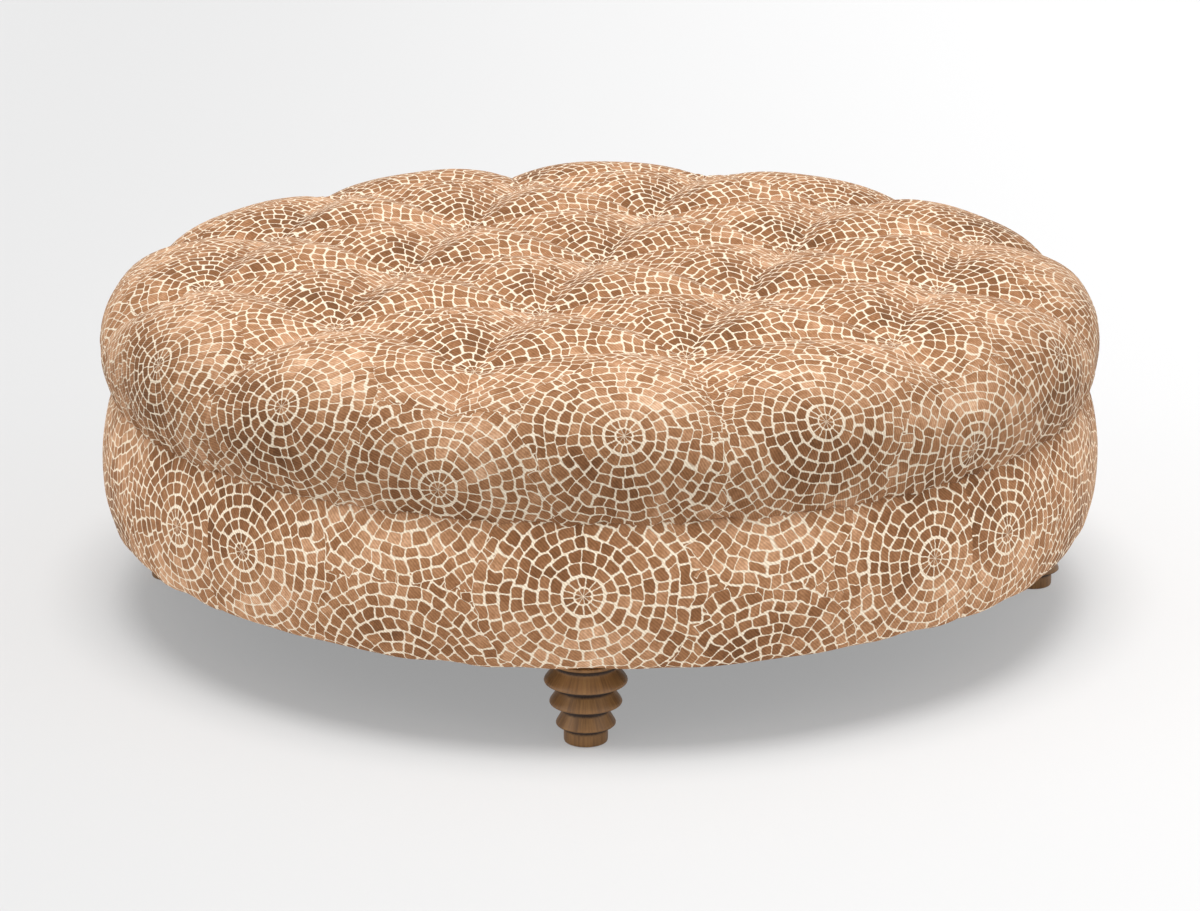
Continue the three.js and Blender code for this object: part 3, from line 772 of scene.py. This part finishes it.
def nearest(tree, spot, candidates):
    """Of (u, v, number), the three nearest medallions: the distance, local place and number of each.

    The distances waver a little, so that the borders aren't straight.
    """
    _, drift = noise(tree, spot, 26.0, 1.0)
    drifts = [(d - 0.5) * BORDER_DRIFT for d in split(tree, drift)]

    def entry(k, u, v, number):
        return [hypot(u, v) + drifts[k % 3] * (1 if k % 2 else -1), u, v, number]

    first = entry(0, *candidates[0])
    second = third = [FAR_AWAY, FAR_AWAY, *first[2:]]
    for k, (u, v, number) in enumerate(candidates[1:], 1):
        here = entry(k, u, v, number)
        closest, closer, close = (here[0].below(other[0]) for other in (first, second, third))
        third = [pick(closer, s, pick(close, h, t)) for s, h, t in zip(second, here, third)]
        second = [pick(closest, f, pick(closer, h, s)) for f, h, s in zip(first, here, second)]
        first = [pick(closest, h, f) for f, h in zip(first, here)]
    return first, second, third


def seat_candidates(tree):
    """The medallions on the seat: one on each tuft, and 18 round its side, in two rows."""
    x, y, r = split(tree, attribute(tree, "flat"))
    reach = hypot(x, y)
    theta = y.angle(x)
    base = (theta / SIXTH).round()
    off = theta - base * SIXTH
    hand = off.sign()
    near1, near2, near3 = (seat_profile.length_at_radius(TUFT_PITCH * k)
                           for k in (1, math.sqrt(3), 2))
    level_mid, level_corner = (seat_profile.length_at_height(z) for z in (0.366, 0.3026))
    lean = math.radians(19.1)

    # The print sits a little behind each tuft, as the cloth was drawn down
    bx, by = x + 0.0047, y - 0.0044

    def flat_place(radius, angle, number):
        return bx - angle.cos() * radius, by - angle.sin() * radius, number

    def side_place(level, delta, number):
        return delta * r, reach - level, number

    middle = (theta / SIXTH).floor() + 0.5
    return y, [
        (bx, by, 1.0),
        flat_place(near1, base * SIXTH, base.wrap(6.0) + 10.0),
        flat_place(near1, (base + hand) * SIXTH, (base + hand).wrap(6.0) + 10.0),
        flat_place(near2, middle * SIXTH, middle.floor().wrap(6.0) + 20.0),
        flat_place(near3, base * SIXTH, base.wrap(6.0) + 30.0),
        side_place(level_corner, off, base.wrap(6.0) + 40.0),
        side_place(level_mid, off - hand * lean, base.wrap(6.0) * 2.0 + hand + 51.0),
        side_place(level_mid, off - hand * (SIXTH - lean), (base + hand).wrap(6.0) * 2.0 - hand + 51.0),
    ]


def band_candidates(tree):
    """The medallions on the base band, mirrored about the middle of each of its four panels."""
    c, s, along = split(tree, attribute(tree, "flat"))
    theta = s.angle(c)
    panel = (theta / QUARTER).floor()
    u = (theta - (panel + 0.5) * QUARTER) * BODY_RADIUS
    v = BAND_LEVEL - along
    hand = u.sign()
    number = panel.wrap(4.0) * 9.0 + 70.0
    row, pitch = 0.119, 0.412  # between the rows, and between the medallions along a row

    def place(cu, cv, n):
        return u - hand * cu, v - cv, number + hand * n

    return (u + v) * 0.7, [
        place(0.0, 0.0, 0.0),
        place(pitch, 0.0, 1.0),
        place(pitch / 2, row, 2.0),
        place(pitch / 2, -row, 3.0),
    ]


def mosaic_fabric(name, candidates_of, group, fine, lift, low=None):
    """The printed cloth. fine makes its tiles smaller, lift makes it lighter as painted light, and low
    gives the reach from the seat's middle over which it turns darker as painted shade."""
    mat, tree, shader = new_material(name)
    thread, candidates = candidates_of(tree)
    spot = places(tree)
    first, second, third = nearest(tree, spot, candidates)

    def tiles(own, *others):
        node = tree.nodes.new("ShaderNodeGroup")
        node.node_tree = group
        places_in = [join(tree, *own[1:])]
        places_in += [join(tree, own[1] - other[1], own[2] - other[2], 0.0) for other in others]
        for socket, place in zip(node.inputs, places_in):
            wire(tree, socket, scaled(tree, place, (fine, fine, 1.0)))
        return [Val(tree, o) for o in node.outputs]

    # Of the owned tiles that meet, one lies whole over the others. Where none is owned, part of another
    # tile fills in.
    in_a, tile, owned_a = tiles(first, second, third)
    in_b, tile_b, owned_b = tiles(second, first, third)
    in_c, tile_c, owned_c = tiles(third, first, second)
    fill = first[3].below(second[3])
    inside = pick(owned_a, in_a, pick(fill, in_a, in_b))
    tile = pick(owned_a, tile, pick(fill, tile, tile_b))
    number = pick(owned_a, first[3], NO_NUMBER)
    for in_x, tile_x, owned_x, number_x in ((in_b, tile_b, owned_b, second[3]),
                                            (in_c, tile_c, owned_c, third[3])):
        take = owned_x * number_x.below(number)
        inside = pick(take, in_x, inside)
        tile = pick(take, tile_x, tile)
        number = pick(take, number_x, number)

    cloud, _ = noise(tree, spot, 7.0, 3.0, 0.6)
    patch, _ = noise(tree, spot, 24.0, 2.0, 0.55)
    mottle, _ = noise(tree, spot, 210.0, 3.0, 0.65)
    thin, _ = noise(tree, spot, 30.0, 1.0)
    joint = (inside - (JOINT_HALF + thin * JOINT_VARIATION)).step(JOINT_EDGE, -JOINT_EDGE)

    # Uneven dye: each tile its own shade, with cloudy pale patches. Each medallion is darker on its
    # upper side
    # and at its middle: print on the base band; on the seat partly print and partly painted shade in and
    # behind each tuft's pit
    distance, u, v, _ = first
    print_and_pit_shade = (v * 0.8 + u * -0.35) * distance.step(0.12, 0.04) * 5.0 + distance.step(0.09, 0.02) * 0.07
    shade = 0.46 + (tile - 0.5) * 0.34 + (cloud - 0.5) * 0.50
    shade = shade + patch.step(0.48, 0.68) * 0.15 + (mottle - 0.5) * 0.6 - print_and_pit_shade
    printed = blend(tree, joint, ramp(tree, shade, *DYE), ramp(tree, mottle, *PALE))

    # Twill lines of the ground cloth
    drift, _ = noise(tree, spot, 90.0, 2.0)
    weave = (thread * (FULL_TURN / TWILL_PITCH) + drift * 4.0).sin()
    # lift makes the whole cloth lighter: painted light, used to brighten the base band
    tint = ramp(tree, weave * 0.5 + 0.5,
                (0.0, (0.82 * lift, 0.81 * lift, 0.80 * lift)), (1.0, (1.08 * lift,) * 3))
    colour = blend(tree, 1.0, printed, tint, "MULTIPLY")
    # Painted shade: the seat's side is multiplied darker than its top
    if low:
        fx, fy, _ = split(tree, attribute(tree, "flat"))
        colour = blend(tree, hypot(fx, fy).step(*low), colour, SIDE_SHADE_TINT, "MULTIPLY")
    wire(tree, shader.inputs["Base Color"], colour)
    wire(tree, shader.inputs["Roughness"], mottle * 0.12 + 0.78)
    shader.inputs["Specular IOR Level"].default_value = 0.1
    shader.inputs["Sheen Weight"].default_value = 0.12
    shader.inputs["Sheen Roughness"].default_value = 0.5
    shader.inputs["Sheen Tint"].default_value = (1.0, 0.62, 0.38, 1)
    bump(tree, shader, weave * 0.5 + joint * 0.5 + mottle * 0.6, 0.00035, 0.6)
    return mat


# Other materials

LEG_MEAN_RADIUS = 0.036
PLY_LAYER = 0.0032
CAMBRIC_WAVES = 1800.0


def leg_wood():
    """Walnut-stained turned wood: grain runs up the leg, darker in the grooves and under the rims as
    painted shade, with heavier staining there too.
    """
    mat, tree, shader = new_material("Stained wood")
    t, z, stain_and_shade = split(tree, attribute(tree, "turned"))
    around = join(tree, t.cos() * LEG_MEAN_RADIUS, t.sin() * LEG_MEAN_RADIUS, z * 0.06)
    grain, _ = noise(tree, around, 420.0, 4.0, 0.6)
    broad, _ = noise(tree, around, 60.0, 2.0, 0.5)
    figure = join(tree, t.cos() * LEG_MEAN_RADIUS, t.sin() * LEG_MEAN_RADIUS, z * 0.35)
    streak, _ = noise(tree, figure, 95.0, 3.0, 0.6)
    tone = grain * 0.55 + broad * 0.35 + streak * 0.25
    wood = ramp(tree, tone, (0.33, srgb(70, 46, 22)), (0.50, srgb(116, 80, 42)),
                (0.62, srgb(138, 98, 54)), (0.80, srgb(160, 117, 68)))
    # Painted shade in the grooves and under the rims, with heavier staining there too: darker where the
    # outline's third value is high
    dark = (stain_and_shade + (grain - 0.5) * 0.5).step(0.30, 0.80)
    stained = blend(tree, dark, wood, srgb(46, 30, 19))
    wire(tree, shader.inputs["Base Color"], stained)
    wire(tree, shader.inputs["Roughness"], grain * 0.25 + 0.34 + dark * 0.30)
    shader.inputs["Specular IOR Level"].default_value = 0.4
    shader.inputs["Coat Weight"].default_value = 0.12
    shader.inputs["Coat Roughness"].default_value = 0.35
    bump(tree, shader, grain + streak * 0.5, 0.00025, 0.7)
    return mat


def speckled(name, dark, light, scale, rough, relief, stretch=(1, 1, 1), metallic=0.0):
    """A plain material with a stretched noise for its grain, colour and relief."""
    mat, tree, shader = new_material(name)
    spot = scaled(tree, places(tree), stretch)
    fine, _ = noise(tree, spot, scale, 4.0, 0.6)
    broad, _ = noise(tree, spot, scale / 9, 2.0)
    tone = fine * 0.7 + broad * 0.3
    wire(tree, shader.inputs["Base Color"], ramp(tree, tone, (0.3, dark), (0.7, light)))
    wire(tree, shader.inputs["Roughness"], fine * 0.2 + rough)
    shader.inputs["Metallic"].default_value = metallic
    bump(tree, shader, tone, relief)
    return mat


def plywood():
    """Birch plywood: long grain on the faces, glued layers on the edges."""
    mat, tree, shader = new_material("Plywood")
    spot = places(tree)
    *_, z = split(tree, spot)
    face, _ = noise(tree, scaled(tree, spot, (1, 12, 1)), 22.0, 4.0, 0.6)
    normal = Val(tree, tree.nodes.new("ShaderNodeNewGeometry").outputs["Normal"])
    *_, nz = split(tree, normal)
    upright = nz.abs().below(0.5)
    layers = (z / PLY_LAYER).frac().step(0.35, 0.6)
    wood = ramp(tree, face, (0.3, srgb(188, 150, 104)), (0.7, srgb(222, 190, 146)))
    glued = blend(tree, layers, srgb(206, 172, 126), srgb(132, 96, 62))
    wire(tree, shader.inputs["Base Color"], blend(tree, upright, wood, glued))
    wire(tree, shader.inputs["Roughness"], face * 0.2 + 0.6)
    bump(tree, shader, face, 0.0003)
    return mat


def cambric():
    """Black spun cloth under the frame."""
    mat, tree, shader = new_material("Cambric")
    spot = places(tree)
    x, y, _ = split(tree, spot)
    weave = ((x * CAMBRIC_WAVES).sin() * (y * CAMBRIC_WAVES).sin()) * 0.5 + 0.5
    fibre, _ = noise(tree, spot, 380.0, 4.0, 0.7)
    wire(tree, shader.inputs["Base Color"],
         ramp(tree, weave * 0.4 + fibre * 0.6, (0.2, srgb(24, 24, 26)), (0.8, srgb(52, 52, 55))))
    wire(tree, shader.inputs["Roughness"], fibre * 0.1 + 0.85)
    bump(tree, shader, weave + fibre, 0.0003)
    return mat


# Pieces

tile_group = mosaic_group()
# The seat's cloth turns darker from 0.47 to 0.60 out from its middle: painted shade on its side
seat_fabric = mosaic_fabric("Mosaic fabric, seat", seat_candidates, tile_group, 1.10, 1.0, (0.47, 0.60))
# The base cloth is made lighter than the seat's: painted light for the band's lower, shadier place
band_fabric = mosaic_fabric("Mosaic fabric, base", band_candidates, tile_group, 1.02, 1.05)
foam_material = speckled("Foam", srgb(214, 196, 146), srgb(240, 227, 188), 260.0, 0.85, 0.0006)
wood_material = leg_wood()


def dress(ob, material, slot, *nodes):
    ob.data.materials.append(material)
    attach(ob, "root")
    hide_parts(*nodes)
    return ob


seat_cover = dress(make_seat_cover(), seat_fabric, "upholstery", "seat_cover")
seat_foam = dress(make_seat_foam(), foam_material, "foam", "seat_foam")
base_cover = dress(make_base_cover(), band_fabric, "upholstery", "base_cover")
base_padding = dress(make_base_padding(), foam_material, "foam", "base_padding")
for number in range(1, 5):
    dress(make_leg(number), wood_material, "leg_wood", f"leg_{number}")

kept_materials = {
    "plywood": plywood(),
    "softwood": speckled("Softwood", srgb(190, 150, 100), srgb(226, 194, 146), 60.0, 0.65, 0.0004,
                         stretch=(1, 1, 0.08)),
    "hardboard": speckled("Hardboard", srgb(92, 64, 40), srgb(142, 106, 70), 420.0, 0.6, 0.0002),
    "steel": speckled("Zinc-plated steel", srgb(128, 130, 132), srgb(196, 198, 200), 500.0, 0.25, 0.0001,
                      metallic=1.0),
    "nylon": speckled("Nylon", srgb(30, 28, 26), srgb(54, 51, 48), 300.0, 0.4, 0.0001),
    "cambric": cambric(),
    "card": speckled("Card", srgb(140, 128, 104), srgb(176, 163, 138), 300.0, 0.8, 0.0003,
                     stretch=(1, 1, 4)),
    "twine": speckled("Waxed twine", srgb(196, 178, 132), srgb(232, 218, 180), 900.0, 0.6, 0.0003,
                      stretch=(1, 1, 0.4)),
}
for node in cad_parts.values():
    for material_slot in node.material_slots:
        if material_slot.material is None:
            continue
        key = material_slot.material.name.split(".")[0]
        if key in kept_materials:
            material_slot.link = "OBJECT"
            material_slot.material = kept_materials[key]


# Stage, light and camera

CAMERA_AZIMUTH, CAMERA_ELEVATION = math.radians(46.67), math.radians(17.47)
CAMERA_AIM, CAMERA_DISTANCE = Vector((0, 0, 0.160)), 4.460
# The floor's painted falloff of light: darker on the left, lighter on the right
FLOOR_LEFT, FLOOR_RIGHT = (0.662, 0.662, 0.662), (0.812, 0.812, 0.812)
FLOOR_REACH, FLOOR_GLOW, FLOOR_SIZE = 1.3, 0.40, 25
WORLD_LIGHT, WORLD_SEEN = (0.487, 0.487, 0.49), (0.895, 0.895, 0.90)


def seen_directly(tree):
    """1 for rays from the camera, off gloss and through glass."""
    path = tree.nodes.new("ShaderNodeLightPath")
    names = ("Is Camera Ray", "Is Glossy Ray", "Is Transmission Ray")
    camera_ray, glossy_ray, through_ray = (Val(tree, path.outputs[name]) for name in names)
    return camera_ray.high(glossy_ray).high(through_ray)


def floor_material():
    """Pale, a little darker to the left as seen by the camera, a painted falloff of light, with part of
    its tone as glow.
    """
    mat, tree, shader = new_material("Floor")
    x, y, _ = split(tree, places(tree))
    right = x * math.cos(CAMERA_AZIMUTH) + y * math.sin(CAMERA_AZIMUTH)
    tone = ramp(tree, right.step(-FLOOR_REACH, FLOOR_REACH), (0.0, FLOOR_LEFT), (1.0, FLOOR_RIGHT))
    wire(tree, shader.inputs["Base Color"], tone)
    shader.inputs["Roughness"].default_value = 0.9
    shader.inputs["Specular IOR Level"].default_value = 0.1
    glow = tree.nodes.new("ShaderNodeEmission")
    wire(tree, glow.inputs["Color"], tone)
    mixed = tree.nodes.new("ShaderNodeMixShader")
    wire(tree, mixed.inputs[0], seen_directly(tree) * FLOOR_GLOW)
    tree.links.new(shader.outputs[0], mixed.inputs[1])
    tree.links.new(glow.outputs[0], mixed.inputs[2])
    tree.links.new(mixed.outputs[0], tree.nodes["Material Output"].inputs["Surface"])
    return mat


corners = [(x * FLOOR_SIZE, y * FLOOR_SIZE, 0) for x, y in ((-1, -1), (1, -1), (1, 1), (-1, 1))]
floor = new_object("floor", corners, [(0, 1, 2, 3)], smooth=False)
floor.data.materials.append(floor_material())

world = bpy.data.worlds.new("Studio")
bpy.context.scene.world = world
world.use_nodes = True
tree = world.node_tree
background = tree.nodes["Background"]
wire(tree, background.inputs["Color"], blend(tree, seen_directly(tree), WORLD_LIGHT, WORLD_SEEN))


def camera_vector(azimuth, elevation):
    """The direction from the aim to a viewer at these angles."""
    return Vector((math.sin(azimuth) * math.cos(elevation), -math.cos(azimuth) * math.cos(elevation),
                   math.sin(elevation)))


def soft_sun(name, azimuth, elevation, spread, power, shadow=True):
    """A wide soft light from an angle off the camera's own azimuth, in degrees."""
    lamp = bpy.data.lights.new(name, "SUN")
    lamp.energy, lamp.angle = power, math.radians(spread)
    lamp.use_shadow = shadow
    ob = bpy.data.objects.new(name, lamp)
    bpy.context.scene.collection.objects.link(ob)
    back = camera_vector(CAMERA_AZIMUTH + math.radians(azimuth), math.radians(elevation))
    ob.rotation_mode = "QUATERNION"
    ob.rotation_quaternion = back.to_track_quat("Z", "Y")


soft_sun("top", 0, 84, 34, 2.62)
soft_sun("left", -70, 18, 50, 0.68, shadow=False)
soft_sun("right", 70, 18, 50, 0.46, shadow=False)

camera = bpy.data.cameras.new("camera")
camera.lens, camera.sensor_width = 109.7, 36.0
view = bpy.data.objects.new("camera", camera)
bpy.context.scene.collection.objects.link(view)
back = camera_vector(CAMERA_AZIMUTH, CAMERA_ELEVATION)
view.location = CAMERA_AIM + back * CAMERA_DISTANCE
view.rotation_mode = "QUATERNION"
view.rotation_quaternion = back.to_track_quat("Z", "Y")
bpy.context.scene.camera = view
bpy.context.scene.view_settings.view_transform = "Standard"

bpy.context.view_layer.update()
